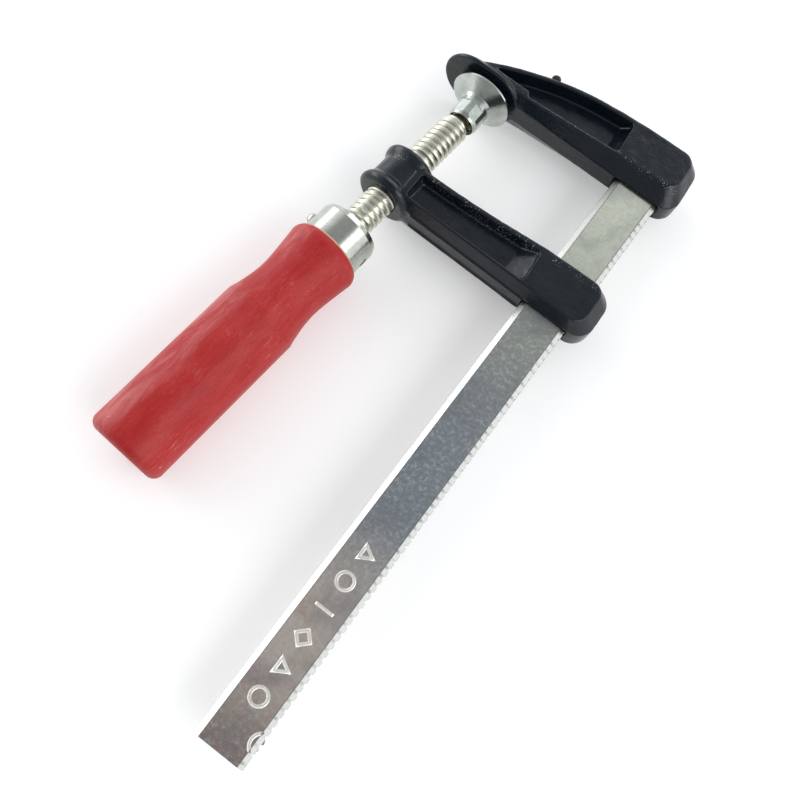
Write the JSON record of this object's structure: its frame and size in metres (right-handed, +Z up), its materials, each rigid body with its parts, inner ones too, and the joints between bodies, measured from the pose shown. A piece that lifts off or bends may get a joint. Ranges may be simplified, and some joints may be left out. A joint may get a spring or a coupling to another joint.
{
  "type": "f clamp",
  "caption": "Small F clamp: toothed steel bar, two black cast jaws, a screw with a wooden handle and a swivel pad.",
  "frame": {"origin": "centre of the fixed jaw's clamping face", "axes": "The clamp lies on its side: +Y runs along the bar towards the fixed jaw, +X across from the screw towards the bar, +Z up, square to the plane of the F."},
  "size_m": [0.0912, 0.2114, 0.0232],
  "materials": {
    "black_casting": "semi-gloss",
    "bar_steel": "bright zinc",
    "screw_steel": "rolled and plated",
    "bright_plate": "bright plated",
    "collar_brass": "satin",
    "red_wood": "red lacquer"
  },
  "bodies": {
    "frame": {"bar": "bar_steel", "fixed_jaw": "black_casting"},
    "jaw": {"sliding_jaw": "black_casting"},
    "collar": {"ball_collar": "collar_brass"},
    "screw": {"spindle": "screw_steel", "ferrule": "bright_plate", "handle": "red_wood", "cross_pin": "bright_plate"},
    "pad": {"swivel_pad": "bright_plate"}
  },
  "joints": [
    {"name": "jaw_slide", "type": "slide", "parent": "frame", "child": "jaw", "axis": [0, -1, 0], "range_m": [0, 0.132]},
    {"name": "screw_feed", "type": "slide", "parent": "jaw", "child": "collar", "axis": [-0.0802, -0.9968, 0], "range_m": [0, 0.01805]},
    {"name": "spindle_turn", "type": "hinge", "parent": "collar", "child": "screw", "pos_m": [0.0011, -0.007, 0], "axis": [-0.0802, -0.9968, 0], "range_deg": [0, 3240]},
    {"name": "pad_tilt", "type": "hinge", "parent": "collar", "child": "pad", "pos_m": [0.0011, -0.007, 0], "axis": [0, 0, 1], "range_deg": [-9, 5]}
  ],
  "couplings": [
    {"joint": "screw_feed", "follows": "spindle_turn", "m_per_rad": 0.00031831}
  ]
}
